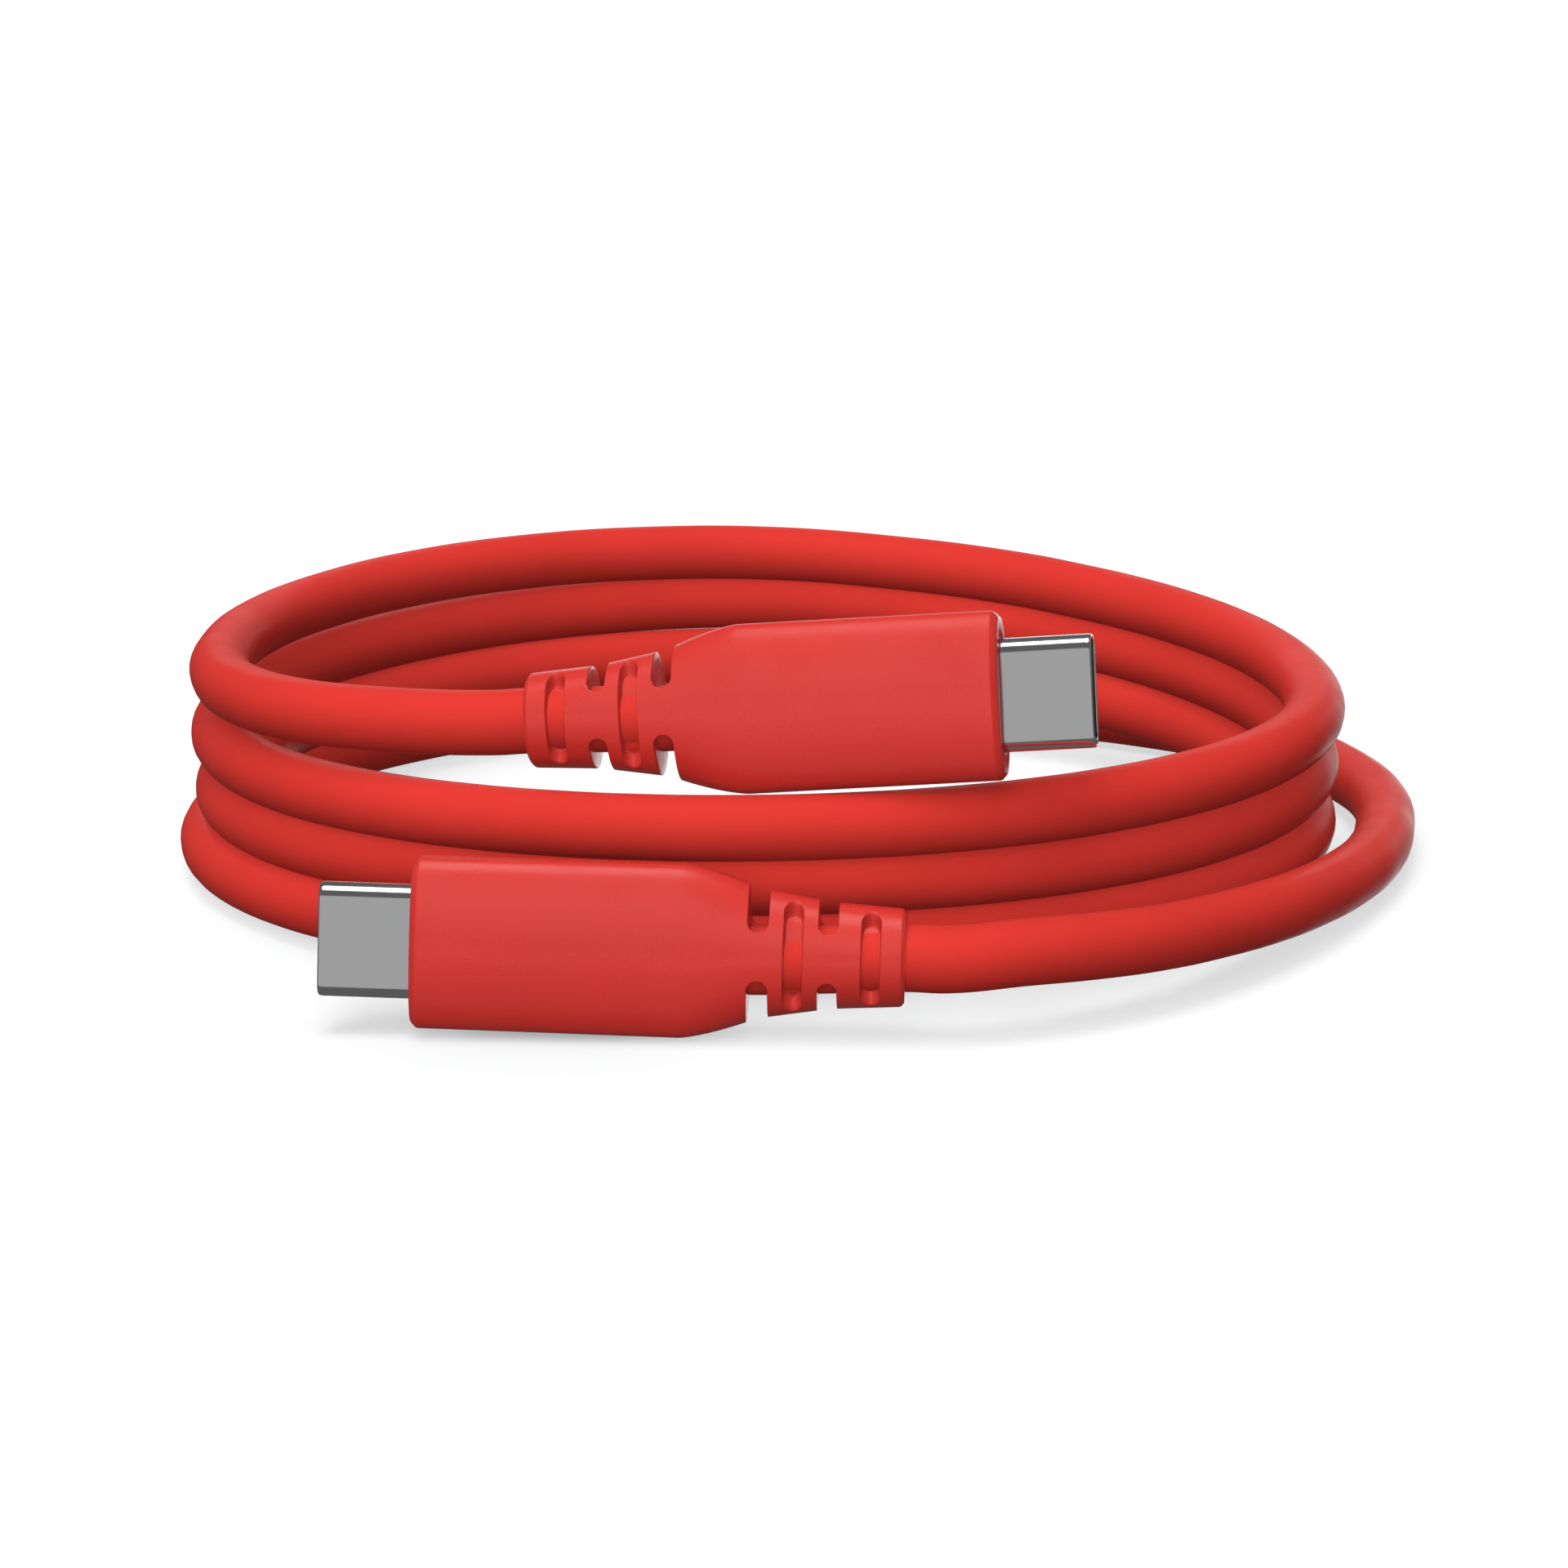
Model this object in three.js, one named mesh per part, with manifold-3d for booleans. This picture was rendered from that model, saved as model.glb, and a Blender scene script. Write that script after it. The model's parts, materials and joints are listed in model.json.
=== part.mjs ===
// A coiled double-ended data cable: a round sheathed cable wound into a loose coil on a flat
// surface, with a slim flat plug moulded on each end. Millimetres, +Z up. The model is laid out
// about the coil's own axis, and the last lines move the origin under the middle of its box.
import * as THREE from "three";
import { mergeVertices } from "three/addons/utils/BufferGeometryUtils.js";
import Module from "manifold-3d";

const wasm = await Module();
wasm.setup();

// ---------------------------------------------------------------- driving dimensions
const CABLE = { radius: 2.425, sides: 10, step: 5, gap: 0.3, straight: 3 };

// The three lower turns as one ring, and the height that they pile up to.
const COIL = { inner: 40.9, outer: 47.0, height: 13.0, corner: 2.0, segments: 72 };

// The moulded grip and its strain relief, seen along a plug whose front face is at x = 0.
// +x runs towards the plug's tip, y is across its broad face and z is its thickness.
const GRIP = {
  halfThickness: 2.8,
  frontHalf: 6.12,
  waistHalf: 6.18,
  waistX: -19.2,
  neckHalf: 4.95,
  neckX: -24.05,
  tailX: -35.2,
  frontChamfer: 0.47,
  rearChamfer: 0.35,
};
// The strain relief tapers through these half widths: [x, half width].
const RELIEF = [
  [-25.45, 4.55],
  [-29.05, 3.95],
  [-30.35, 3.78],
  [-34.85, 3.5],
];
// How much of the half width and of the half thickness the arc of a section's corner takes.
const BODY_ARC = { across: 0.9, through: 0.74 };
const RELIEF_ARC = { across: 0.92, through: 0.97 };
const RING_STEPS = 6;
const SHOULDER_STEPS = 6;
const SHOULDER_BEND = 1.4;
// The notches' spans along x and how near the middle they reach, and the grooves across each
// broad face, which follow the section at an even depth.
const NOTCHES = [
  [-24.05, -25.45],
  [-29.05, -30.35],
];
const BRIDGE_HALF = 1.83;
const SLOT = { width: 1.3, depth: 0.8, halves: [3.85, 3.25], centres: [-27.25, -32.75] };

const SHELL = { half: 4.125, halfHeight: 1.2, wall: 0.2, tipX: 6.65, rearX: -3.0, gap: 0.05 };
const CAVITY = { half: 4.3, halfHeight: 1.8, frontX: -3.2, rearX: -15.6 };
const BORE_RADIUS = 2.5;
// The black lining of the mouth, its slot for the socket's tongue and the windows in its back.
const LINING = { half: 3.85, halfHeight: 0.8, rearX: -0.6, frontX: 6.35 };
const TONGUE_SLOT = { halfHeight: 0.42, rearX: 0.2 };
const CONTACT_WINDOW = { half: 3.05, low: 0.25, high: 0.48 };
const LATCH_WINDOW = { inner: 3.3, outer: 4.2 };
// A contact's blade in the mouth, the bar it is moulded into, and its foot on the card.
const CONTACT = { count: 12, pitch: 0.5, width: 0.26 };
const BLADE = { low: 0.3, high: 0.42, rearX: -1.2, frontX: 5.6 };
const BAR = { half: 3.1, low: 0.2, high: 0.9, rearX: -3.4, frontX: -0.95 };
const FOOT = { low: 0.36, high: 0.46, rearX: -5.3, frontX: -3.2 };
const MID_PLATE = { half: 3.2, halfHeight: 0.1 };
const LATCH = {
  rootX: -2.9,
  tipX: 5.7,
  inner: 3.42,
  outer: 3.6,
  hookStartX: 4.5,
  hookX: 5.0,
  hookEndX: 5.25,
  hookInner: 3.05,
  tipInner: 3.45,
  halfHeight: 0.32,
};
// A sprung frame on the lining and the two windows in it.
const SPRING = { half: 2.8, low: 0.85, high: 0.94, rearX: 3.5, frontX: 5.8 };
const SPRING_WINDOW = { inner: 0.35, outer: 2.4, rearX: 4.0, frontX: 5.3 };
const CARD = { half: 3.7, halfHeight: 0.3, frontX: -3.95, rearX: -12.6 };
const CHIP = { half: 1.2, low: 0.36, high: 0.95, rearX: -9.4, frontX: -7.0 };
const SHIELD = { half: 4.2, halfHeight: 1.7, wall: 0.2, seam: 0.06, frontX: -3.35, rearX: -15.4 };
const FERRULE = { inner: 2.25, outer: 2.45, frontX: -15.9, rearX: -19.8, gap: 0.1 };
// The end of the jacket, and the waist that the ferrule crimps into it.
const JACKET_END = { frontX: -15.85, waistX: -19.9, waistRadius: 2.2 };
const WIRE = { radius: 0.36, frontX: -10.9, padX: -12.7, bendX: -14.3, startX: -15.6 };
// The wires' spacing and height, where they leave the jacket and where they meet the card.
const WIRE_START = { pitch: 0.7, height: 0.55 };
const WIRE_PAD = { pitch: 1.35, height: 0.74 };
const POTTING = { half: 3.8, halfHeight: 1.4, rearX: -15.0, frontX: -13.1, gap: 0.1 };

// Where each plug's front face centre is, and how the plug is turned: yaw is its heading about
// +Z, pitch lifts its tip, and roll is how far its broad face has turned from lying flat.
const PLUGS = {
  a: { at: [-25.4, -53.5, 6.63], yaw: 177, pitch: 1.2, roll: 98 },
  b: { at: [16.9, -45.7, 22.9], yaw: -11, pitch: 5.4, roll: 75.6 },
};

// The cable's free stretches, from each plug's tail to the coil. Lead b climbs over the front
// of the coil and lies on top of its back; lead a lies round the outside on the surface.
const LEAD_B_ROUTE = [
  [-30.0, -34.7, 18.85],
  [-36.0, -29.7, 18.45],
  [-40.6, -22.0, 17.95],
  [-43.4, -12.4, 17.4],
  [-44.3, -1.5, 17.0],
  [-43.0, 10.2, 16.85],
  [-38.6, 21.5, 16.95],
  [-31.4, 31.3, 17.15],
  [-22.0, 39.0, 17.2],
  [-11.4, 44.0, 17.05],
  [0.0, 45.7, 16.75],
  [11.4, 43.8, 16.2],
  [21.8, 39.1, 15.65],
];
const LEAD_A_ROUTE = [
  [18.2, -54.2, 6.0],
  [23.2, -51.4, 5.7],
  [28.4, -46.9, 5.15],
  [33.3, -41.2, 4.6],
  [37.8, -34.7, 4.0],
  [41.7, -27.6, 3.4],
  [45.2, -20.0, 2.9],
  [48.2, -11.6, 2.55],
  [50.2, -2.5, 2.43],
  [51.0, 7.5, 2.43],
  [49.6, 17.0, 2.43],
  [46.3, 26.0, 2.43],
  [41.0, 33.4, 2.43],
  [34.4, 39.5, 2.43],
];

// ---------------------------------------------------------------- materials
const finish = (color, roughness, metalness) =>
  new THREE.MeshStandardMaterial({ color, roughness, metalness });
const MATERIALS = {
  jacket: finish(0xd93c34, 0.5, 0),
  grip: finish(0xdc3f37, 0.48, 0),
  steel: finish(0xa8a8a6, 0.3, 1),
  gold: finish(0xd8b25a, 0.25, 1),
  insulator: finish(0x1b1b1d, 0.55, 0),
  board: finish(0x14502c, 0.45, 0),
  chip: finish(0x202022, 0.5, 0),
  potting: finish(0xe6e2d6, 0.6, 0),
  wires: {
    power: finish(0xb3201c, 0.5, 0),
    ground: finish(0x161616, 0.5, 0),
    data_plus: finish(0x1f7a3a, 0.5, 0),
    data_minus: finish(0xe8e8e6, 0.5, 0),
    channel: finish(0x2456a8, 0.5, 0),
  },
};

// ---------------------------------------------------------------- solid helpers
function solid(geometry) {
  const flat = geometry.index ? geometry.toNonIndexed() : geometry.clone();
  flat.deleteAttribute("normal");
  flat.deleteAttribute("uv");
  const merged = mergeVertices(flat, 1e-4);
  const vertProperties = merged.attributes.position.array;
  const triVerts = new Uint32Array(merged.index.array);
  return new wasm.Manifold(new wasm.Mesh({ numProp: 3, vertProperties, triVerts }));
}

function geometryOf(body) {
  const { numProp, vertProperties, triVerts } = body.getMesh();
  const corners = new Float32Array((vertProperties.length / numProp) * 3);
  for (let i = 0; i < corners.length / 3; i++) {
    corners.set(vertProperties.subarray(i * numProp, i * numProp + 3), i * 3);
  }
  const geometry = new THREE.BufferGeometry();
  geometry.setAttribute("position", new THREE.BufferAttribute(corners, 3));
  geometry.setIndex(new THREE.BufferAttribute(triVerts, 1));
  return geometry;
}

const without = (body, ...cuts) => cuts.reduce((left, cut) => left.subtract(cut), body);
const together = (...bodies) => bodies.reduce((sum, body) => sum.add(body));

// A range about zero, and a range above (1) or below (-1) it.
const both = (half) => [-half, half];
const span = (side, low, high) => (side > 0 ? [low, high] : [-high, -low]);

function block([x0, x1], [y0, y1], [z0, z1]) {
  const geometry = new THREE.BoxGeometry(x1 - x0, y1 - y0, z1 - z0);
  return solid(geometry.translate((x0 + x1) / 2, (y0 + y1) / 2, (z0 + z1) / 2));
}

// An outline drawn in (y, z), pushed along x.
function barAlongX(outline, rearX, frontX) {
  const settings = { depth: frontX - rearX, bevelEnabled: false, curveSegments: 8 };
  const geometry = new THREE.ExtrudeGeometry(outline, settings);
  const axes = [new THREE.Vector3(0, 1, 0), new THREE.Vector3(0, 0, 1), new THREE.Vector3(1, 0, 0)];
  geometry.applyMatrix4(new THREE.Matrix4().makeBasis(...axes));
  return solid(geometry.translate(rearX, 0, 0));
}

function cylinderAlongX(radius, rearX, frontX, sides) {
  const geometry = new THREE.CylinderGeometry(radius, radius, frontX - rearX, sides);
  return solid(geometry.rotateZ(Math.PI / 2).translate((rearX + frontX) / 2, 0, 0));
}

// A flat outline with full round ends.
function racetrack(half, halfHeight) {
  const centre = half - halfHeight;
  const shape = new THREE.Shape();
  shape.absarc(centre, 0, halfHeight, -Math.PI / 2, Math.PI / 2, false);
  shape.absarc(-centre, 0, halfHeight, Math.PI / 2, 1.5 * Math.PI, false);
  shape.closePath();
  return shape;
}

function circle(radius, sides) {
  const corners = Array.from({ length: sides }, (_, i) => {
    const angle = (2 * Math.PI * i) / sides;
    return new THREE.Vector2(radius * Math.cos(angle), radius * Math.sin(angle));
  });
  return new THREE.Shape(corners);
}

function tube(points, radius, sides, step) {
  const curve = new THREE.CatmullRomCurve3(points, false, "centripetal");
  const steps = Math.max(2, Math.round(curve.getLength() / step));
  const settings = { steps, extrudePath: curve, bevelEnabled: false };
  return new THREE.ExtrudeGeometry(circle(radius, sides), settings);
}

function addMesh(group, name, shape, material) {
  const geometry = shape.isBufferGeometry ? shape : geometryOf(shape);
  const mesh = new THREE.Mesh(geometry, material);
  mesh.name = name;
  group.add(mesh);
}

// ---------------------------------------------------------------- the moulded grip
// A section's corners, counterclockwise seen from the tip: a rectangle with rounded corners.
function ring(x, half, halfThickness, arc) {
  const across = arc.across * half;
  const through = arc.through * halfThickness;
  const quarter = Array.from({ length: RING_STEPS + 1 }, (_, i) => {
    const angle = (i / RING_STEPS) * (Math.PI / 2);
    return [half - across + across * Math.cos(angle), halfThickness - through + through * Math.sin(angle)];
  });
  const back = [...quarter].reverse();
  const corners = [
    ...quarter,
    ...back.map(([y, z]) => [-y, z]),
    ...quarter.map(([y, z]) => [-y, -z]),
    ...back.map(([y, z]) => [y, -z]),
  ];
  return corners.map(([y, z]) => [x, y, z]);
}

// A skin over rings given from the rear to the front, closed at both ends.
function loft(rings) {
  const size = rings[0].length;
  const faces = [];
  rings.slice(1).forEach((_, i) => {
    for (let j = 0; j < size; j++) {
      const next = (j + 1) % size;
      const [a, b, c, d] = [i * size + j, i * size + next, (i + 1) * size + next, (i + 1) * size + j];
      faces.push(a, b, c, a, c, d);
    }
  });
  const front = (rings.length - 1) * size;
  for (let j = 1; j < size - 1; j++) faces.push(0, j + 1, j, front, front + j, front + j + 1);
  const geometry = new THREE.BufferGeometry();
  geometry.setAttribute("position", new THREE.Float32BufferAttribute(rings.flat(2), 3));
  geometry.setIndex(faces);
  return solid(geometry);
}

// The rings of the strain relief, from the tail to the neck, drawn in by a depth.
function reliefRings(depth) {
  const { halfThickness, neckX, neckHalf } = GRIP;
  const stations = [...RELIEF].reverse().concat([[neckX, neckHalf]]);
  return stations.map(([x, half]) => ring(x, half - depth, halfThickness - depth, RELIEF_ARC));
}

// The curve from the neck out to the body, from rear to front.
function shoulderRings() {
  const { halfThickness, waistHalf, waistX, neckHalf, neckX } = GRIP;
  const mix = THREE.MathUtils.lerp;
  return Array.from({ length: SHOULDER_STEPS }, (_, i) => {
    const t = (i + 1) / SHOULDER_STEPS;
    const rise = 1 - (1 - t) ** SHOULDER_BEND;
    const arc = {
      across: mix(RELIEF_ARC.across, BODY_ARC.across, rise),
      through: mix(RELIEF_ARC.through, BODY_ARC.through, rise),
    };
    return ring(mix(neckX, waistX, t), mix(neckHalf, waistHalf, rise), halfThickness, arc);
  });
}

function gripBody() {
  const { halfThickness, frontHalf, frontChamfer, tailX, rearChamfer } = GRIP;
  const tailHalf = RELIEF.at(-1)[1];
  return loft([
    ring(tailX, tailHalf - rearChamfer, halfThickness - rearChamfer, RELIEF_ARC),
    ...reliefRings(0),
    ...shoulderRings(),
    ring(-frontChamfer, frontHalf, halfThickness, BODY_ARC),
    ring(0, frontHalf - frontChamfer, halfThickness - frontChamfer, BODY_ARC),
  ]);
}

// A notch that cuts in from one long edge and ends in a half circle.
function notch(frontX, rearX, side) {
  const radius = (frontX - rearX) / 2;
  const centre = (frontX + rearX) / 2;
  const start = BRIDGE_HALF + radius;
  const edge = GRIP.waistHalf + 1;
  const shape = new THREE.Shape();
  shape.moveTo(frontX, edge);
  shape.lineTo(frontX, start);
  shape.absarc(centre, start, radius, 0, -Math.PI, true);
  shape.lineTo(rearX, edge);
  shape.closePath();
  const depth = 2 * GRIP.halfThickness + 2;
  const geometry = new THREE.ExtrudeGeometry(shape, { depth, bevelEnabled: false, curveSegments: 6 });
  geometry.translate(0, 0, -depth / 2);
  if (side < 0) geometry.rotateZ(Math.PI).translate(frontX + rearX, 0, 0);
  return solid(geometry);
}

function makeGrip() {
  const notches = NOTCHES.flatMap(([x0, x1]) => [notch(x0, x1, 1), notch(x0, x1, -1)]);
  const slots = SLOT.centres.map((x, i) =>
    block([x - SLOT.width / 2, x + SLOT.width / 2], both(SLOT.halves[i]), both(GRIP.halfThickness + 1)),
  );
  const mouth = racetrack(SHELL.half + SHELL.gap, SHELL.halfHeight + SHELL.gap);
  const ferruleBore = FERRULE.outer + FERRULE.gap;
  return without(
    gripBody(),
    together(...slots).subtract(loft(reliefRings(SLOT.depth))),
    barAlongX(mouth, CAVITY.frontX - 0.2, 1),
    block([CAVITY.rearX, CAVITY.frontX], both(CAVITY.half), both(CAVITY.halfHeight)),
    cylinderAlongX(BORE_RADIUS, GRIP.tailX - 1, CAVITY.rearX + 1, 24),
    cylinderAlongX(ferruleBore, FERRULE.rearX - FERRULE.gap, CAVITY.rearX + 1, 24),
    ...notches,
  );
}

// ---------------------------------------------------------------- the plug's working parts
function makeShell() {
  const { half, halfHeight, wall, tipX, rearX } = SHELL;
  const outside = barAlongX(racetrack(half, halfHeight), rearX, tipX);
  return without(outside, barAlongX(racetrack(half - wall, halfHeight - wall), rearX - 1, tipX + 1));
}

// The black lining: two plates above and below the tongue's slot, joined by a back wall that
// lets the contacts and the latch arms through.
function makeLining() {
  const { half, halfHeight, rearX, frontX } = LINING;
  const body = barAlongX(racetrack(half, halfHeight), rearX, frontX);
  const through = [rearX - 1, frontX - 1];
  const contactWindows = [1, -1].map((side) => {
    const { low, high } = CONTACT_WINDOW;
    return block(through, both(CONTACT_WINDOW.half), span(side, low, high));
  });
  const latchWindows = [1, -1].map((side) => {
    const { inner, outer } = LATCH_WINDOW;
    return block(through, span(side, inner, outer), both(TONGUE_SLOT.halfHeight));
  });
  const slot = block([TONGUE_SLOT.rearX, frontX + 1], both(half + 1), both(TONGUE_SLOT.halfHeight));
  return without(body, slot, ...contactWindows, ...latchWindows);
}

// One row of contacts and the plastic bar that they are moulded into, above (1) or below (-1).
function makeContactRow(side) {
  const { count, pitch, width } = CONTACT;
  const bar = block([BAR.rearX, BAR.frontX], both(BAR.half), span(side, BAR.low, BAR.high));
  const pieces = Array.from({ length: count }, (_, i) => {
    const y = (i - (count - 1) / 2) * pitch;
    const widths = [y - width / 2, y + width / 2];
    return [BLADE, FOOT].map(({ low, high, rearX, frontX }) =>
      block([rearX, frontX], widths, span(side, low, high)),
    );
  });
  return together(bar, ...pieces.flat());
}

function makeLatchArm(side) {
  const { rootX, tipX, inner, outer, hookStartX, hookX, hookEndX, hookInner, tipInner } = LATCH;
  const corners = [
    [rootX, inner],
    [hookStartX, inner],
    [hookX, hookInner],
    [hookEndX, hookInner],
    [tipX, tipInner],
    [tipX, outer],
    [rootX, outer],
  ];
  const outline = new THREE.Shape(corners.map(([x, y]) => new THREE.Vector2(x, y)));
  const depth = 2 * LATCH.halfHeight;
  const geometry = new THREE.ExtrudeGeometry(outline, { depth, bevelEnabled: false });
  geometry.translate(0, 0, -LATCH.halfHeight);
  if (side < 0) geometry.rotateX(Math.PI);
  return geometry;
}

function makeGroundSpring(side) {
  const { half, low, high, rearX, frontX } = SPRING;
  const windows = [1, -1].map((end) => {
    const widths = span(end, SPRING_WINDOW.inner, SPRING_WINDOW.outer);
    return block([SPRING_WINDOW.rearX, SPRING_WINDOW.frontX], widths, both(1));
  });
  return without(block([rearX, frontX], both(half), span(side, low, high)), ...windows);
}

// Half of the folded steel can round the card: a plate with a wall down each side.
function makeShield(side) {
  const { half, halfHeight, wall, seam, frontX, rearX } = SHIELD;
  const inner = half - wall;
  const corners = [
    [-half, seam],
    [-half, halfHeight],
    [half, halfHeight],
    [half, seam],
    [inner, seam],
    [inner, halfHeight - wall],
    [-inner, halfHeight - wall],
    [-inner, seam],
  ];
  const outline = new THREE.Shape(corners.map(([y, z]) => new THREE.Vector2(y, side * z)));
  return barAlongX(outline, rearX, frontX);
}

// Each wire leaves the jacket in a zigzag row and ends on its own pad, above or below the card.
const WIRE_NAMES = Object.keys(MATERIALS.wires);
function wirePath(index) {
  const place = index - (WIRE_NAMES.length - 1) / 2;
  const side = index % 2 ? -1 : 1;
  const start = [place * WIRE_START.pitch, side * WIRE_START.height];
  const pad = [place * WIRE_PAD.pitch, side * WIRE_PAD.height];
  return [
    new THREE.Vector3(WIRE.startX, ...start),
    new THREE.Vector3(WIRE.bendX, ...start.map((v, i) => (v + pad[i]) / 2)),
    new THREE.Vector3(WIRE.padX, ...pad),
    new THREE.Vector3(WIRE.frontX, ...pad),
  ];
}

// The blob of hot melt that grips the wires behind the card.
function makePotting() {
  const { half, halfHeight, rearX, frontX, gap } = POTTING;
  const holes = WIRE_NAMES.map((_, i) => solid(tube(wirePath(i), WIRE.radius + gap, 8, 0.6)));
  return without(block([rearX, frontX], both(half), both(halfHeight)), ...holes);
}

function makeFerrule() {
  const { inner, outer, rearX, frontX } = FERRULE;
  const sleeve = cylinderAlongX(outer, rearX, frontX, 20);
  return without(sleeve, cylinderAlongX(inner, rearX - 1, frontX + 1, 20));
}

// The end of the jacket in the grip, with the waist that the ferrule crimps into it.
function makeJacketEnd() {
  const { frontX, waistX, waistRadius } = JACKET_END;
  const whole = cylinderAlongX(CABLE.radius, GRIP.tailX, waistX, 12);
  return together(whole, cylinderAlongX(waistRadius, waistX - 1, frontX, 12));
}

function makePlug(id) {
  const plug = new THREE.Group();
  const add = (name, shape, material) => addMesh(plug, `${name}_${id}`, shape, material);
  const { steel, gold, insulator, board, chip, potting, grip, wires, jacket } = MATERIALS;
  const card = block([CARD.rearX, CARD.frontX], both(CARD.half), both(CARD.halfHeight));
  const plate = block([BAR.rearX, BAR.frontX], both(MID_PLATE.half), both(MID_PLATE.halfHeight));
  add("overmould", makeGrip(), grip);
  add("shell", makeShell(), steel);
  add("insulator", makeLining(), insulator);
  add("contacts_top", makeContactRow(1), gold);
  add("contacts_bottom", makeContactRow(-1), gold);
  add("mid_plate", plate, steel);
  add("latch_arm_left", makeLatchArm(1), steel);
  add("latch_arm_right", makeLatchArm(-1), steel);
  add("ground_spring_top", makeGroundSpring(1), steel);
  add("ground_spring_bottom", makeGroundSpring(-1), steel);
  add("paddle_card", card, board);
  add("marker_chip", block([CHIP.rearX, CHIP.frontX], both(CHIP.half), [CHIP.low, CHIP.high]), chip);
  add("shield_top", makeShield(1), steel);
  add("shield_bottom", makeShield(-1), steel);
  add("wire_potting", makePotting(), potting);
  WIRE_NAMES.forEach((name, i) => add(`wire_${name}`, tube(wirePath(i), WIRE.radius, 8, 0.9), wires[name]));
  add("crimp_ferrule", makeFerrule(), steel);
  add("cable_end", makeJacketEnd(), jacket);
  const { at, yaw, pitch, roll } = PLUGS[id];
  const radians = THREE.MathUtils.degToRad;
  plug.position.set(...at);
  plug.rotation.set(radians(roll), radians(-pitch), radians(yaw), "ZYX");
  plug.updateMatrixWorld(true);
  return plug;
}

// ---------------------------------------------------------------- the cable
function makeLead(plug, route) {
  const tail = (x) => plug.localToWorld(new THREE.Vector3(x, 0, 0));
  const start = [tail(GRIP.tailX - CABLE.gap), tail(GRIP.tailX - CABLE.straight)];
  const points = [...start, ...route.map((point) => new THREE.Vector3(...point))];
  return tube(points, CABLE.radius, CABLE.sides, CABLE.step);
}

function makeCoil() {
  const { inner, outer, height, corner, segments } = COIL;
  const profile = [];
  const turn = (r, z, from) => {
    for (let i = 0; i <= 3; i++) {
      const angle = from + (i * Math.PI) / 6;
      profile.push(new THREE.Vector2(r + corner * Math.cos(angle), z + corner * Math.sin(angle)));
    }
  };
  turn(outer - corner, corner, -Math.PI / 2);
  turn(outer - corner, height - corner, 0);
  turn(inner + corner, height - corner, Math.PI / 2);
  turn(inner + corner, corner, Math.PI);
  profile.push(profile[0].clone());
  return new THREE.LatheGeometry(profile, segments).rotateX(Math.PI / 2);
}

// ---------------------------------------------------------------- the whole cable
const cable = new THREE.Group();
const plugA = makePlug("a");
const plugB = makePlug("b");
cable.add(plugA, plugB);
addMesh(cable, "lead_a", makeLead(plugA, LEAD_A_ROUTE), MATERIALS.jacket);
addMesh(cable, "lead_b", makeLead(plugB, LEAD_B_ROUTE), MATERIALS.jacket);
addMesh(cable, "cable_coil", makeCoil(), MATERIALS.jacket);

const box = new THREE.Box3().setFromObject(cable, true);
const middle = box.getCenter(new THREE.Vector3());
cable.position.set(-middle.x, -middle.y, -box.min.z);
cable.updateMatrixWorld(true);

export default cable;
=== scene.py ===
"""A red data cable with a slim flat plug on each end, coiled on white paper."""

import json
import math

import bpy
from mathutils import Matrix, Vector


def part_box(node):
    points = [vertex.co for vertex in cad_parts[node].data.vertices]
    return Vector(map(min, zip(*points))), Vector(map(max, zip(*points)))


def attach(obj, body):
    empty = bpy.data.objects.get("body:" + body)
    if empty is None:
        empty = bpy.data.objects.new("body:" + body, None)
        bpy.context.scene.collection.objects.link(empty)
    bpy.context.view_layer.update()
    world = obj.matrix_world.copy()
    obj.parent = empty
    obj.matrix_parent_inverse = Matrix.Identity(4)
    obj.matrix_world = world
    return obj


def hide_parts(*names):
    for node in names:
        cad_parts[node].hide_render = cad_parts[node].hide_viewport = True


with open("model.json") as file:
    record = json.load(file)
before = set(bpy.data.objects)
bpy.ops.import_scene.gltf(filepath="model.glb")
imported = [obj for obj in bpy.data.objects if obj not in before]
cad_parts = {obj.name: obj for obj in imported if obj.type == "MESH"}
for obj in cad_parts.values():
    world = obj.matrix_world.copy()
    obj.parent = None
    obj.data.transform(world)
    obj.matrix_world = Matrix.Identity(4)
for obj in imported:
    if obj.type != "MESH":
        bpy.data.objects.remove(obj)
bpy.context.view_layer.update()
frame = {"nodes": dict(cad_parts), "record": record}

MM = 0.001
PLUG_IDS = ("a", "b")

# The coil's own axis, on the surface that it lies on. Lengths below are millimetres from here.
coil_low, coil_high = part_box("cable_coil")
ORIGIN = Vector(((coil_low.x + coil_high.x) / 2, (coil_low.y + coil_high.y) / 2, coil_low.z))


def place(point):
    """A point given in millimetres from the coil's axis, in the scene's metres."""
    return ORIGIN + Vector(point) * MM


def new_object(name, data):
    item = bpy.data.objects.new(name, data)
    bpy.context.scene.collection.objects.link(item)
    return item


# ---------------------------------------------------------------- camera
camera_data = bpy.data.cameras.new("camera")
camera_data.angle = math.radians(18.48)
camera_data.clip_start = 0.01
camera_data.clip_end = 20
camera = new_object("camera", camera_data)
camera.location = place((1.08, -385.8, 94.85))
camera.rotation_euler = (math.radians(77), 0, 0)
bpy.context.scene.camera = camera

# ---------------------------------------------------------------- dimensions
CABLE_RADIUS = 2.425
# Each plug has its own axes: x runs forward from the grip's front face, y across the plug and z
# through its thickness. "half" is half the width and "high" half the thickness.
GRIP = {
    "high": 2.8,
    "front_half": 6.12,
    "waist_half": 6.18,
    "waist_x": -19.2,
    "neck_half": 4.95,
    "neck_x": -24.05,
    "tail_x": -35.2,
    "front_chamfer": 0.47,
    "rear_chamfer": 0.35,
}
# The shoulder rises from the neck to the waist, steeply at first.
SHOULDER_STEPS = 32
SHOULDER_CURVE = 1.4
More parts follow.
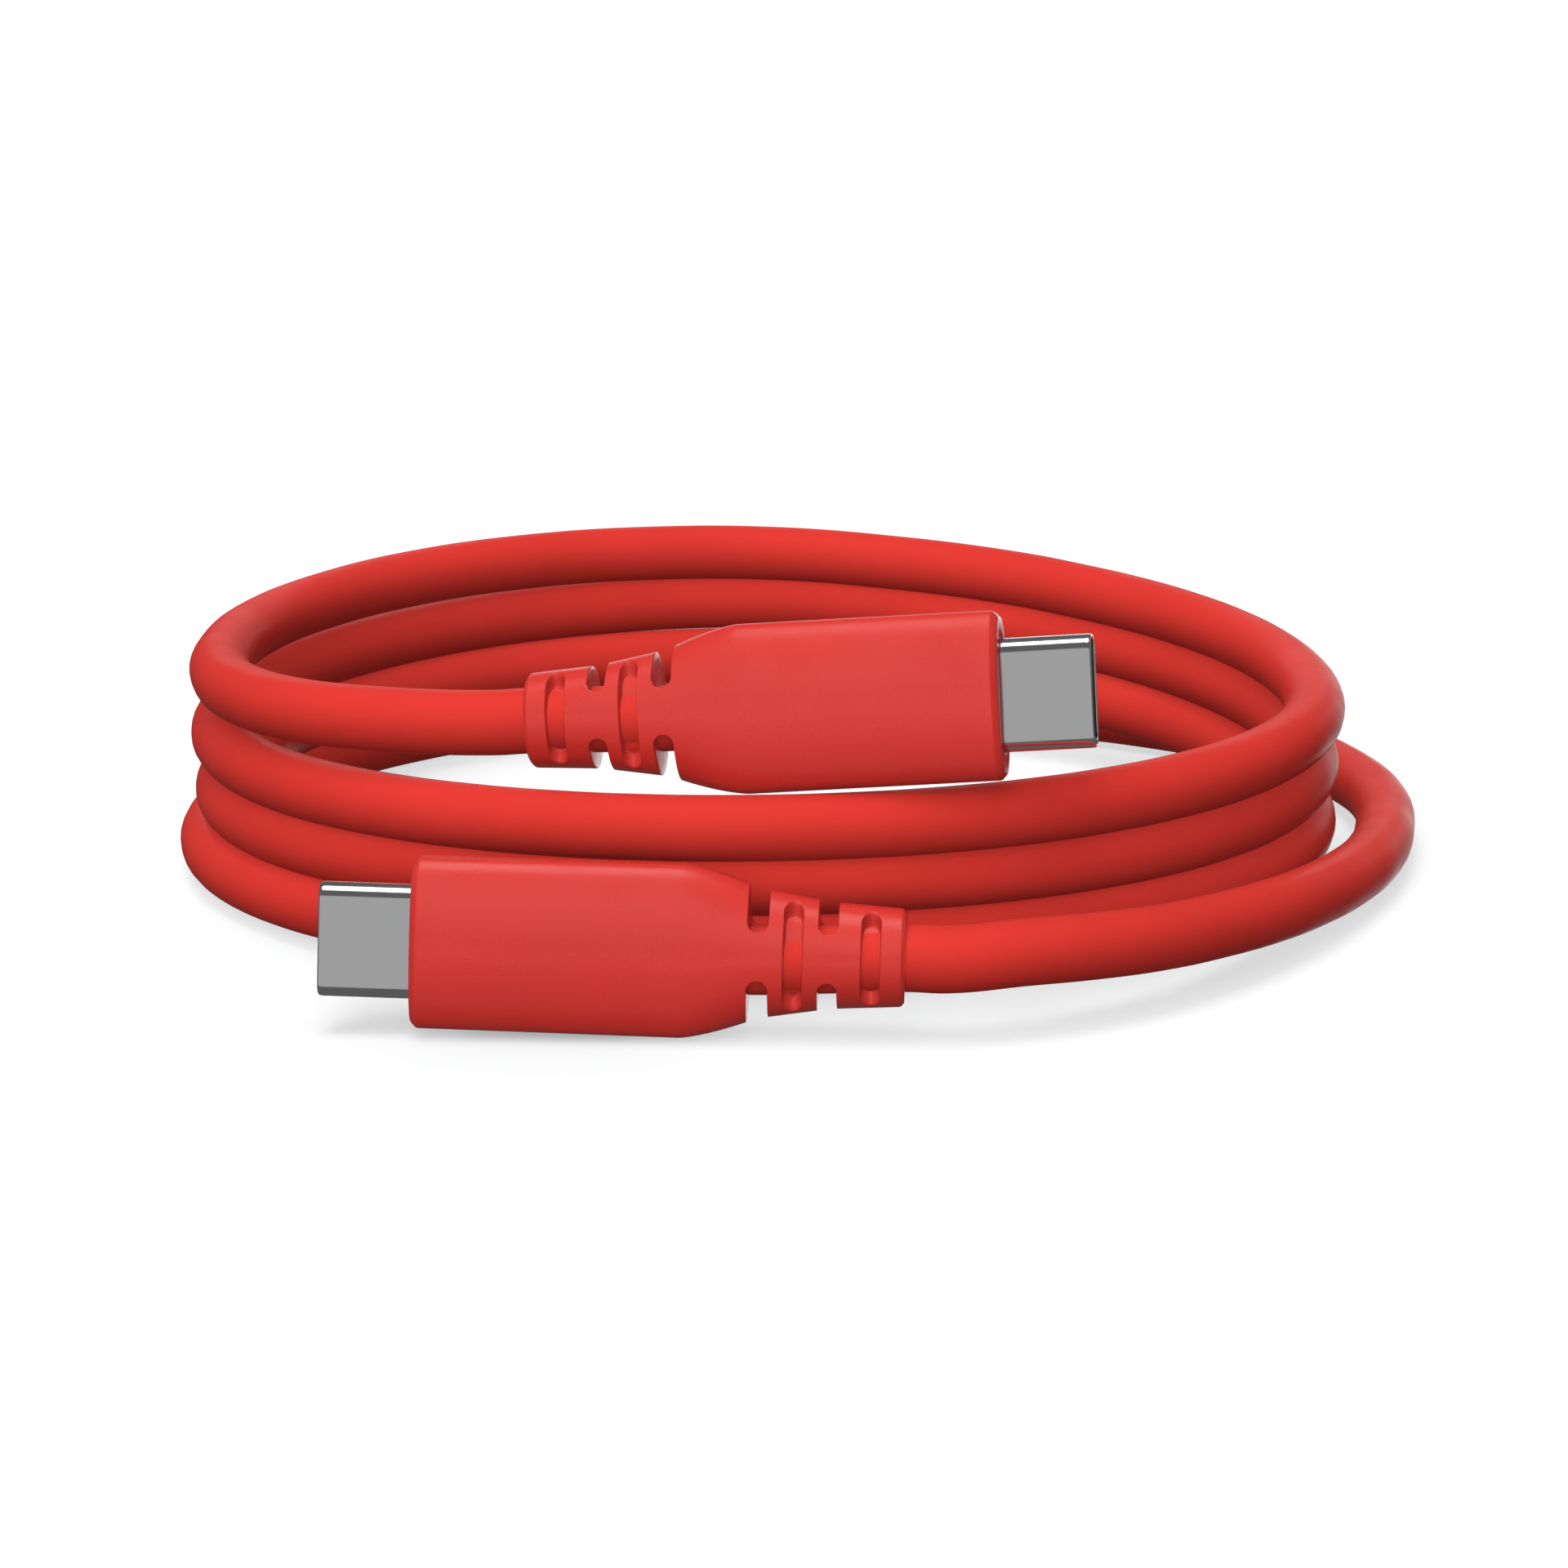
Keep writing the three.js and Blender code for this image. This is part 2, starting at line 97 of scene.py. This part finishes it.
# The strain relief's (x, half width) behind the neck.
RELIEF = [(-25.45, 4.55), (-29.05, 3.95), (-30.35, 3.78), (-34.85, 3.5)]
# How much of the half width and half thickness each corner's round takes up.
BODY_ARC = (0.9, 0.74)
RELIEF_ARC = (0.92, 0.97)
CAVITY_ARC = (0.12, 0.3)
CIRCLE_ARC = (1.0, 1.0)
# The notches, cut in from both long edges: (front x, rear x). A bridge is left between the two.
NOTCHES = [(-24.05, -25.45), (-29.05, -30.35)]
BRIDGE_HALF = 1.83
# The slots, sunk in both broad faces: (middle x, half length). They spare what lies nearer than
# SLOT_LEAST_Z to the plug's middle plane.
SLOTS = [(-27.25, 3.85), (-32.75, 3.25)]
SLOT_WIDTH = 1.3
SLOT_DEPTH = 1.02
SLOT_LEAST_Z = 0.5
# Each cut's wall slopes this far to either side of its outline.
EDGE = 0.07
SHELL = {"half": 4.125, "high": 1.2, "wall": 0.2, "tip_x": 6.65, "rear_x": -3.0}
MOUTH_CLEARANCE = 0.05
CAVITY = {"half": 4.3, "high": 1.8, "front_x": -3.2, "rear_x": -15.6}
# The grip is moulded onto the jacket, which fills its bore and shows in the notches.
BORE_RADIUS = 1.8
NOTCH_FLOOR = BORE_RADIUS + 0.05

PLUGS = {
    "a": {"at": (-25.4, -53.5, 6.63), "yaw": 177, "pitch": 1.2, "roll": 98},
    "b": {"at": (16.9, -45.7, 22.9), "yaw": -11, "pitch": 5.4, "roll": 75.6},
}


def plug_matrix(plug_id):
    """From a plug's own axes, in millimetres, to the scene's."""
    pose = PLUGS[plug_id]
    turn = Matrix.Rotation(math.radians(pose["yaw"]), 4, "Z")
    turn = turn @ Matrix.Rotation(math.radians(-pose["pitch"]), 4, "Y")
    turn = turn @ Matrix.Rotation(math.radians(pose["roll"]), 4, "X")
    return Matrix.Translation(place(pose["at"])) @ turn @ Matrix.Scale(MM, 4)


# ---------------------------------------------------------------- the cable
# The stretch behind plug b, by way of the left and the back onto the top turn.
LEAD_B_ROUTE = [
    (-30.0, -34.7, 18.85),
    (-36.0, -29.7, 18.45),
    (-40.6, -22.0, 17.95),
    (-43.4, -12.4, 17.4),
    (-44.3, -1.5, 17.0),
    (-43.0, 10.2, 16.85),
    (-38.6, 21.5, 16.95),
    (-31.4, 31.3, 17.15),
    (-22.0, 39.0, 17.2),
    (-11.4, 44.0, 17.05),
    (0.0, 45.7, 16.75),
    (11.4, 43.8, 16.2),
    (21.8, 39.1, 15.65),
]
# The stretch behind plug a, by way of the right to the turn on the paper.
LEAD_A_ROUTE = [
    (18.2, -54.2, 6.0),
    (23.2, -51.4, 5.7),
    (28.4, -46.9, 5.15),
    (33.3, -41.2, 4.6),
    (37.8, -34.7, 4.0),
    (41.7, -27.6, 3.4),
    (45.2, -20.0, 2.9),
    (48.2, -11.6, 2.55),
    (50.2, -2.5, 2.43),
    (51.0, 7.5, 2.43),
    (49.6, 17.0, 2.43),
    (46.3, 26.0, 2.43),
    (41.0, 33.4, 2.43),
    (34.4, 39.5, 2.43),
]
# The turns between the two leads: (angle, how far out from the mean radius, height). The angle
# is zero at the left and grows by way of the back.
MEAN_RADIUS = 45.2
# The left and right of each turn lie this much nearer the front than a true circle's would.
SIDES_FORWARD = 1.5
TURNS = [
    (90, 0.5, 16.65),
    (119, -0.45, 15.65),
    (150, -1.25, 14.65),
    (180, -1.3, 13.9),
    (270, 1.1, 13.2),
    (360, -0.7, 11.7),
    (450, 1.6, 12.15),
    (480, 0.2, 11.0),
    (540, -1.5, 9.05),
    (630, -0.9, 8.6),
    (720, -0.9, 6.95),
    (810, -0.2, 7.55),
    (840, -0.8, 6.3),
    (900, -1.6, 4.25),
    (990, -1.6, 3.9),
    (1080, 0.6, 2.43),
    (1170, 4.2, 2.43),
    (1215, 7.9, 2.43),
]
# The knots of the turns, in degrees: the first, the end of the range and the step.
TURN_KNOTS = (128, 1202, 9)
# How low the jacket lies in each plug's neck, and the share of that drop at each x.
JACKET_DROP = {"a": 0.6, "b": 0.38}
DROP_SHARES = (
    (-16, 0),
    (-20, 0.7),
    (-24, 1),
    (-28, 0.68),
    (-33, 0.2),
    (-35.5, 0),
    (-38.2, 0),
)


def smooth_through(keys, at):
    """Both values at one place of a smooth curve through the keys, each (place, value, value)."""
    last = len(keys) - 1
    slopes = []
    for i in range(len(keys)):
        a, b = keys[max(i - 1, 0)], keys[min(i + 1, last)]
        slopes.append([(b[k] - a[k]) / (b[0] - a[0]) for k in (1, 2)])
    i = max(n for n in range(last) if keys[n][0] <= at)
    a, b = keys[i], keys[i + 1]
    span = b[0] - a[0]
    t = (at - a[0]) / span
    values = []
    for k in (1, 2):
        start, end = slopes[i][k - 1] * span, slopes[i + 1][k - 1] * span
        values.append(
            (2 * t**3 - 3 * t**2 + 1) * a[k]
            + (t**3 - 2 * t**2 + t) * start
            + (3 * t**2 - 2 * t**3) * b[k]
            + (t**3 - t**2) * end
        )
    return values


def turn_points():
    """The middle line of the coiled turns, from the top one down to the one on the paper."""
    points = []
    for degrees in range(*TURN_KNOTS):
        out, height = smooth_through(TURNS, degrees)
        angle = math.radians(degrees)
        radius = MEAN_RADIUS + out
        forward = SIDES_FORWARD * math.cos(angle) ** 2
        across = -radius * math.cos(angle)
        back = radius * math.sin(angle) - forward
        points.append(place((across, back, height)))
    return points


def inside_plug(plug_id):
    """The cable's middle line from inside the grip to just behind its tail."""
    matrix = plug_matrix(plug_id)
    points = []
    for x, share in DROP_SHARES:
        drop = Vector((0, 0, share * JACKET_DROP[plug_id] * MM))
        points.append(matrix @ Vector((x, 0, 0)) - drop)
    return points


def make_cord():
    """One continuous jacket from plug b round the coil to plug a, and its knots."""
    points = inside_plug("b") + [place(p) for p in LEAD_B_ROUTE] + turn_points()
    points += [place(p) for p in reversed(LEAD_A_ROUTE)] + list(reversed(inside_plug("a")))
    curve = bpy.data.curves.new("cable_jacket", "CURVE")
    curve.dimensions = "3D"
    curve.bevel_depth = CABLE_RADIUS * MM
    curve.bevel_resolution = 14
    curve.resolution_u = 10
    curve.use_fill_caps = True
    spline = curve.splines.new("BEZIER")
    spline.bezier_points.add(len(points) - 1)
    for knot, point in zip(spline.bezier_points, points):
        knot.co = point
        knot.handle_left_type = knot.handle_right_type = "AUTO"
    return new_object("cable_jacket", curve), points


cord, cord_points = make_cord()


# ---------------------------------------------------------------- lofted pieces
# Points round each piece's rings, and steps along each corner that they are spread over.
GRIP_COUNT = 320
SHELL_COUNT = 160
CORNER_STEPS = 64


def section(half, high, arc, count):
    """A rectangle with elliptic corners: points at even steps of its edge, from +y by way of +z."""
    across, through = arc[0] * half, arc[1] * high
    dense = [(half, 0.0)]
    for i in range(CORNER_STEPS + 1):
        angle = i / CORNER_STEPS * math.pi / 2
        y = half - across + across * math.cos(angle)
        z = high - through + through * math.sin(angle)
        dense.append((y, z))
    dense.append((0.0, high))
    lengths = [0.0]
    for a, b in zip(dense, dense[1:]):
        lengths.append(lengths[-1] + math.dist(a, b))
    quarter = count // 4
    points = []
    j = 0
    for i in range(quarter + 1):
        target = lengths[-1] * i / quarter
        while j < len(dense) - 2 and lengths[j + 1] < target:
            j += 1
        gap = lengths[j + 1] - lengths[j]
        t = (target - lengths[j]) / gap if gap else 0.0
        a, b = dense[j], dense[j + 1]
        points.append((a[0] + (b[0] - a[0]) * t, a[1] + (b[1] - a[1]) * t))
    inner = points[1:-1]
    return (
        points
        + [(-y, z) for y, z in reversed(inner)]
        + [(-y, -z) for y, z in points]
        + [(y, -z) for y, z in reversed(inner)]
    )


def loft(name, rings):
    """A skin over rings of one size, the last joined to the first."""
    size = len(rings[0])
    verts = [corner for ring in rings for corner in ring]
    faces = []
    for i in range(len(rings)):
        after = (i + 1) % len(rings)
        for j in range(size):
            k = (j + 1) % size
            faces.append((i * size + j, after * size + j, after * size + k, i * size + k))
    mesh = bpy.data.meshes.new(name)
    mesh.from_pydata(verts, [], faces)
    mesh.validate()
    mesh.shade_smooth()
    return mesh


def ease(t):
    """From 0 to 1 with level ends."""
    t = min(1.0, max(0.0, t))
    return t * t * (3 - 2 * t)


def mix(a, b, t):
    return a + (b - a) * t


def shoulder_table():
    """The shoulder's (x, rise) from the neck, where the rise is 0, to the waist, where it is 1."""
    table = []
    for i in range(SHOULDER_STEPS + 1):
        t = i / SHOULDER_STEPS
        table.append((mix(GRIP["neck_x"], GRIP["waist_x"], t), 1 - (1 - t) ** SHOULDER_CURVE))
    return table


SHOULDER = shoulder_table()


def along_table(table, x):
    """The value at x, on straight lines between the table's (x, value) rows."""
    for (x0, v0), (x1, v1) in zip(table, table[1:]):
        if x0 <= x <= x1:
            return mix(v0, v1, (x - x0) / (x1 - x0))
    return table[0][1] if x < table[0][0] else table[-1][1]


def outer_section(x):
    """Half width and corner arc of the moulding's outside at x."""
    if x >= GRIP["waist_x"]:
        return mix(GRIP["waist_half"], GRIP["front_half"], 1 - x / GRIP["waist_x"]), BODY_ARC
    if x >= GRIP["neck_x"]:
        rise = along_table(SHOULDER, x)
        arc = tuple(mix(r, b, rise) for r, b in zip(RELIEF_ARC, BODY_ARC))
        return mix(GRIP["neck_half"], GRIP["waist_half"], rise), arc
    table = sorted(RELIEF + [(GRIP["neck_x"], GRIP["neck_half"])])
    return along_table(table, x), RELIEF_ARC


def slot_distance(x, y, middle, half):
    """How far inside a slot with round ends a point lies, seen square to the broad face."""
    radius = SLOT_WIDTH / 2
    reach = half - radius
    return radius - math.hypot(x - middle, max(abs(y) - reach, 0.0))


def notch_distance(x, y, span):
    """How far inside a round-ended notch a point lies, seen square to the broad face."""
    radius = (span[0] - span[1]) / 2
    middle = (span[0] + span[1]) / 2
    start = BRIDGE_HALF + radius
    return radius - math.hypot(x - middle, max(start - abs(y), 0.0))


def sunk(inside):
    """0 at the top of a cut's wall, 1 at its foot."""
    return ease((inside + EDGE) / (2 * EDGE))


def carve(x, ring):
    """The ring at x with the notches sunk nearly to the bore and the slots by their depth."""
    carved = []
    for y, z in ring:
        radius = math.hypot(y, z)
        notch = max(notch_distance(x, y, span) for span in NOTCHES)
        slot = max(slot_distance(x, y, middle, half) for middle, half in SLOTS)
        target = radius
        if notch > -EDGE and notch >= slot:
            target = mix(radius, NOTCH_FLOOR, sunk(notch))
        elif slot > -EDGE and abs(z) > SLOT_LEAST_Z:
            target = mix(radius, radius - SLOT_DEPTH, sunk(slot))
        carved.append((y / radius * target, z / radius * target))
    return carved


def relief_stations():
    """Places along the strain relief, close together at each wall of a cut."""
    ahead, near_wall, fine_step, plain_step = 0.35, 0.3, 0.035, 0.1
    walls = [x for span in NOTCHES for x in span]
    walls += [middle + side * SLOT_WIDTH / 2 for middle, _ in SLOTS for side in (-1, 1)]
    x = GRIP["neck_x"] + ahead
    stations = []
    while x > RELIEF[-1][0]:
        stations.append(x)
        gap = min(abs(x - wall) for wall in walls)
        x -= fine_step if gap < near_wall else plain_step
    return stations + [RELIEF[-1][0]]


def make_grip(plug_id):
    """The moulding as one skin: the mouth, the body, the strain relief and back along the bore."""
    high, front, rear = GRIP["high"], GRIP["front_chamfer"], GRIP["rear_chamfer"]
    body_start, body_step = -0.9, 0.6
    shoulder_end, shoulder_rings = GRIP["neck_x"] + 0.4, 44
    rings = []

    def add(x, points):
        rings.append([(x, y, z) for y, z in points])

    def outside(x):
        half, arc = outer_section(x)
        return section(half, high, arc, GRIP_COUNT)

    # the mouth, from deep in the cavity out to the front face
    box = section(CAVITY["half"], CAVITY["high"], CAVITY_ARC, GRIP_COUNT)
    mouth = (SHELL["half"] + MOUTH_CLEARANCE, SHELL["high"] + MOUTH_CLEARANCE)
    mouth_arc = (mouth[1] / mouth[0], 1.0)
    add(CAVITY["rear_x"], box)
    add(CAVITY["front_x"], box)
    for x, grow in ((CAVITY["front_x"], 0.0), (-0.12, 0.0), (-0.04, 0.02), (0.0, 0.08)):
        add(x, section(mouth[0] + grow, mouth[1] + grow, mouth_arc, GRIP_COUNT))
    # the front face and its chamfer, with a fine round on both edges
    half, arc = outer_section(-front)
    for x, inset in (
        (0.0, front + 0.5),
        (0.0, front + 0.12),
        (-0.02, front + 0.03),
        (-0.06, front - 0.04),
        (-0.16, front - 0.16),
        (-front + 0.1, 0.1),
        (-front + 0.03, 0.045),
        (-front - 0.04, 0.012),
        (-front - 0.12, 0.0),
    ):
        add(x, section(half - inset, high - inset, arc, GRIP_COUNT))
    # the body, the shoulder and the strain relief
    x = body_start
    while x > GRIP["waist_x"]:
        add(x, outside(x))
        x -= body_step
    for i in range(shoulder_rings):
        x = mix(GRIP["waist_x"], shoulder_end, i / shoulder_rings)
        add(x, outside(x))
    for x in relief_stations():
        add(x, carve(x, outside(x)))
    # the tail's chamfer, its face and the bore
    tail = RELIEF[-1][0]
    half, arc = outer_section(tail)
    broad_inset = 0.25
    for back, inset in ((0.06, 0.02), (0.16, 0.1), (0.29, 0.23), (0.34, 0.31), (rear, 0.42)):
        add(tail - back, section(half - inset, high - min(inset, broad_inset), arc, GRIP_COUNT))
    for x, grow in ((GRIP["tail_x"], 0.03), (GRIP["tail_x"] + 0.08, 0.0), (CAVITY["rear_x"], 0.0)):
        radius = BORE_RADIUS + grow
        add(x, section(radius, radius, CIRCLE_ARC, GRIP_COUNT))
    mesh = loft(f"grip_{plug_id}", rings)
    mesh.transform(plug_matrix(plug_id))
    return new_object(f"grip_{plug_id}", mesh)


def make_shell(plug_id):
    """The drawn steel tube, from its rear end out along the inside and back along the outside."""
    half, high, wall, tip = SHELL["half"], SHELL["high"], SHELL["wall"], SHELL["tip_x"]
    rings = []

    def add(x, inset):
        y, z = half - inset, high - inset
        rings.append([(x, *p) for p in section(y, z, (z / y, 1.0), SHELL_COUNT)])

    inner = [(SHELL["rear_x"], wall), (0.0, wall), (tip - 0.6, wall), (tip - 0.34, wall + 0.012)]
    # the lip is drawn in a little and has a full round
    lip = [
        (tip - 0.1, wall + 0.05),
        (tip - 0.03, wall + 0.035),
        (tip, wall - 0.02),
        (tip, wall - 0.07),
        (tip - 0.03, 0.075),
        (tip - 0.09, 0.04),
        (tip - 0.17, 0.018),
        (tip - 0.28, 0.004),
        (tip - 0.4, 0.0),
    ]
    outside = [(tip - 0.8, 0.0), (tip / 2, 0.0), (0.3, 0.0), (-0.3, 0.0), (SHELL["rear_x"], 0.0)]
    for x, inset in inner + lip + outside:
        add(x, inset)
    mesh = loft(f"shell_{plug_id}", rings)
    mesh.transform(plug_matrix(plug_id))
    return new_object(f"drawn_shell_{plug_id}", mesh)


grips = {i: make_grip(i) for i in PLUG_IDS}
shells = {i: make_shell(i) for i in PLUG_IDS}
# The red pieces cast no red glow on the paper or on each other.
for item in (cord, *grips.values()):
    item.visible_diffuse = False


# ---------------------------------------------------------------- materials
# Where most of a noise's values lie.
NOISE_RANGE = (0.3, 0.7)


class Build:
    """A material's node tree, with a shader whose own sockets hold the even values.

    Noise scales are per metre of the object's own space, and bump heights are in metres.
    """

    def __init__(self, name, color, roughness, metallic=0.0, **sockets):
        self.material = bpy.data.materials.new(name)
        self.material.use_nodes = True
        self.material.diffuse_color = (*color, 1)
        self.tree = self.material.node_tree
        self.shader = self.tree.nodes["Principled BSDF"]
        self.color = color
        self.roughness = roughness
        self.set("Base Color", (*color, 1))
        self.set("Roughness", roughness)
        self.set("Metallic", metallic)
        for key, value in sockets.items():
            self.set(key.replace("_", " "), value)
        self.space = self.tree.nodes.new("ShaderNodeTexCoord").outputs["Object"]

    def set(self, socket, value):
        self.shader.inputs[socket].default_value = value

    def stretched(self, scale):
        mapping = self.tree.nodes.new("ShaderNodeMapping")
        mapping.inputs["Scale"].default_value = scale
        self.tree.links.new(self.space, mapping.inputs["Vector"])
        return mapping.outputs["Vector"]

    def noise(self, scale, detail=3.0, space=None):
        node = self.tree.nodes.new("ShaderNodeTexNoise")
        node.inputs["Scale"].default_value = scale
        node.inputs["Detail"].default_value = detail
        self.tree.links.new(space or self.space, node.inputs["Vector"])
        return node.outputs["Fac"]

    def ramp(self, value, low, high):
        node = self.tree.nodes.new("ShaderNodeValToRGB")
        ends = node.color_ramp.elements
        for end, position, color in zip(ends, NOISE_RANGE, (low, high)):
            end.position = position
            end.color = (*color, 1)
        self.tree.links.new(value, node.inputs["Fac"])
        return node.outputs["Color"]

    def vary_color(self, scale, spread):
        low = tuple(c * (1 - spread) for c in self.color)
        high = tuple(min(1.0, c * (1 + spread)) for c in self.color)
        varied = self.ramp(self.noise(scale), low, high)
        self.tree.links.new(varied, self.shader.inputs["Base Color"])
        return self

    def vary_roughness(self, scale, spread, space=None):
        node = self.tree.nodes.new("ShaderNodeMapRange")
        node.inputs["From Min"].default_value = NOISE_RANGE[0]
        node.inputs["From Max"].default_value = NOISE_RANGE[1]
        node.inputs["To Min"].default_value = self.roughness - spread
        node.inputs["To Max"].default_value = self.roughness + spread
        self.tree.links.new(self.noise(scale, space=space), node.inputs["Value"])
        self.tree.links.new(node.outputs["Result"], self.shader.inputs["Roughness"])
        return self

    def bump(self, scale, height, space=None):
        """Small relief, laid over any that is there already."""
        node = self.tree.nodes.new("ShaderNodeBump")
        node.inputs["Strength"].default_value = 1.0
        node.inputs["Distance"].default_value = height
        relief = self.noise(scale, detail=2.0, space=space)
        self.tree.links.new(relief, node.inputs["Height"])
        before = self.shader.inputs["Normal"]
        if before.is_linked:
            self.tree.links.new(before.links[0].from_socket, node.inputs["Normal"])
        self.tree.links.new(node.outputs["Normal"], before)
        return self


def red(name, color, roughness, specular):
    """Soft red rubber: a fine grain over slow, shallow unevenness."""
    build = Build(name, color, roughness, Specular_IOR_Level=specular)
    build.vary_color(scale=90, spread=0.03).vary_roughness(scale=260, spread=0.05)
    return build.bump(scale=5200, height=0.000012).bump(scale=420, height=0.00001)


def metal(name, color, roughness, stretch, height):
    """Metal whose grain is finer along the axes with a larger stretch."""
    build = Build(name, color, roughness, metallic=1.0)
    grain = build.stretched(stretch)
    build.vary_roughness(scale=700, spread=0.025, space=grain)
    build.bump(scale=1500, height=height, space=grain)
    return build.vary_color(scale=120, spread=0.012)


def plastic(name, color, roughness, spread=0.06):
    build = Build(name, color, roughness)
    build.vary_color(scale=500, spread=spread).vary_roughness(scale=700, spread=0.05)
    return build.bump(scale=2500, height=0.000008)


# One for each of the record's material slots.
MATERIALS = {
    "jacket": red("red_jacket", (0.75, 0.043, 0.032), 0.4, 0.02),
    "grip": red("red_grip", (0.73, 0.036, 0.027), 0.3, 0.45),
    "shell_steel": metal("satin_shell_steel", (0.8, 0.8, 0.8), 0.14, (1, 1, 1), 0.000001),
    "spring_steel": metal("bright_spring_steel", (0.68, 0.67, 0.65), 0.26, (1, 1, 6), 0.000004),
    "shield_steel": metal("folded_shield_steel", (0.6, 0.59, 0.57), 0.36, (6, 1, 1), 0.000006),
    "ferrule": metal("crimped_ferrule_steel", (0.58, 0.57, 0.55), 0.38, (1, 1, 1), 0.000008),
    "gold": metal("gold_plating", (0.83, 0.6, 0.25), 0.24, (6, 1, 1), 0.000003),
    "lining": plastic("black_moulded_lining", (0.018, 0.018, 0.02), 0.48),
    "board": plastic("green_solder_mask", (0.015, 0.15, 0.06), 0.35, 0.15),
    "chip": plastic("black_chip_package", (0.025, 0.025, 0.026), 0.5),
    "potting": plastic("milky_hot_melt", (0.78, 0.75, 0.66), 0.5),
    "wire_power": plastic("red_wire_insulation", (0.45, 0.02, 0.015), 0.4),
    "wire_ground": plastic("black_wire_insulation", (0.02, 0.02, 0.02), 0.4),
    "wire_data_plus": plastic("green_wire_insulation", (0.02, 0.22, 0.06), 0.4),
    "wire_data_minus": plastic("white_wire_insulation", (0.78, 0.78, 0.75), 0.4),
    "wire_channel": plastic("blue_wire_insulation", (0.02, 0.08, 0.36), 0.4),
}


def dress(item, material):
    item.data.materials.clear()
    item.data.materials.append(material)


# The CAD's own pieces take the material of the slot that the record gives them.
for subpart in frame["record"]["subparts"]:
    node = frame["nodes"][subpart["node"]]
    for holder in node.material_slots:
        holder.material = MATERIALS[subpart["material_slot"]].material

dress(cord, MATERIALS["jacket"].material)
for plug_id in PLUG_IDS:
    dress(grips[plug_id], MATERIALS["grip"].material)
    dress(shells[plug_id], MATERIALS["shell_steel"].material)

# ---------------------------------------------------------------- what each piece is
BODY = "cable"
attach(cord, BODY)
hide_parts("lead_a", "lead_b", "cable_coil", "cable_end_a", "cable_end_b")
for plug_id in PLUG_IDS:
    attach(grips[plug_id], BODY)
    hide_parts(f"overmould_{plug_id}")
    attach(shells[plug_id], BODY)
    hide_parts(f"shell_{plug_id}")

# ---------------------------------------------------------------- floor and light
scene = bpy.context.scene
scene.view_settings.view_transform = "Standard"


# The paper lies just under the lowest pieces, and reaches the horizon of a low view.
FLOOR_LEVEL = -0.00008
FLOOR_REACH = 20.0


def make_floor():
    """A square grid of paper, in metres."""
    steps = 12
    marks = [mix(-FLOOR_REACH, FLOOR_REACH, i / steps) for i in range(steps + 1)]
    verts = [(x, y, FLOOR_LEVEL) for y in marks for x in marks]
    row = steps + 1
    faces = [
        (j * row + i, j * row + i + 1, (j + 1) * row + i + 1, (j + 1) * row + i)
        for j in range(steps)
        for i in range(steps)
    ]
    mesh = bpy.data.meshes.new("floor")
    mesh.from_pydata(verts, [], faces)
    return new_object("floor", mesh)


floor = make_floor()
paper = Build("white_paper", (0.88, 0.88, 0.88), 0.75, Emission_Strength=0.2, Specular_IOR_Level=0)
paper.vary_color(scale=6, spread=0.01)
paper.set("Emission Color", (1, 1, 1, 1))
dress(floor, paper.material)
# The paper throws no light back up and is not mirrored, so the cards below it can be.
floor.visible_diffuse = floor.visible_glossy = False

world = bpy.data.worlds.new("studio")
scene.world = world
world.use_nodes = True
background = world.node_tree.nodes["Background"]
background.inputs["Color"].default_value = (0.97, 0.98, 1.0, 1)
background.inputs["Strength"].default_value = 0.12


def face_coil(lamp, at):
    """Put a lamp in its place, turned to the middle of the coil."""
    lamp.location = place(at)
    lamp.rotation_euler = (ORIGIN - lamp.location).to_track_quat("-Z", "Y").to_euler()


def softbox(name, at, extent, watts):
    """A flat rectangular light that faces the coil."""
    data = bpy.data.lights.new(name, "AREA")
    data.shape = "RECTANGLE"
    data.size, data.size_y = extent[0] * MM, extent[1] * MM
    data.energy = watts
    lamp = new_object(name, data)
    face_coil(lamp, at)
    return lamp


def wide_sun(name, at, angle, strength, shiny=False):
    """Soft light from one side, which leaves a sheen only when shiny."""
    data = bpy.data.lights.new(name, "SUN")
    data.angle = math.radians(angle)
    data.energy = strength
    lamp = new_object(name, data)
    face_coil(lamp, at)
    lamp.visible_glossy = shiny


wide_sun("key", (-220, -450, 560), 52, 1.05)
wide_sun("fill", (-50, -600, 190), 40, 1.1)
wide_sun("sky", (-120, 0, 700), 160, 0.8)
wide_sun("top", (-60, -60, 700), 34, 0.7, shiny=True)
softbox("back_strip", (0, 900, 300), (700, 260), 0.8)
# Cards that light nothing and only show as reflections, mostly in the shells.
for name, at, extent, watts in (
    ("front_card", (-300, -1500, -150), (3000, 1900), 5.6),
    ("side_card", (450, 1100, -200), (450, 700), 2.6),
):
    softbox(name, at, extent, watts).visible_diffuse = False
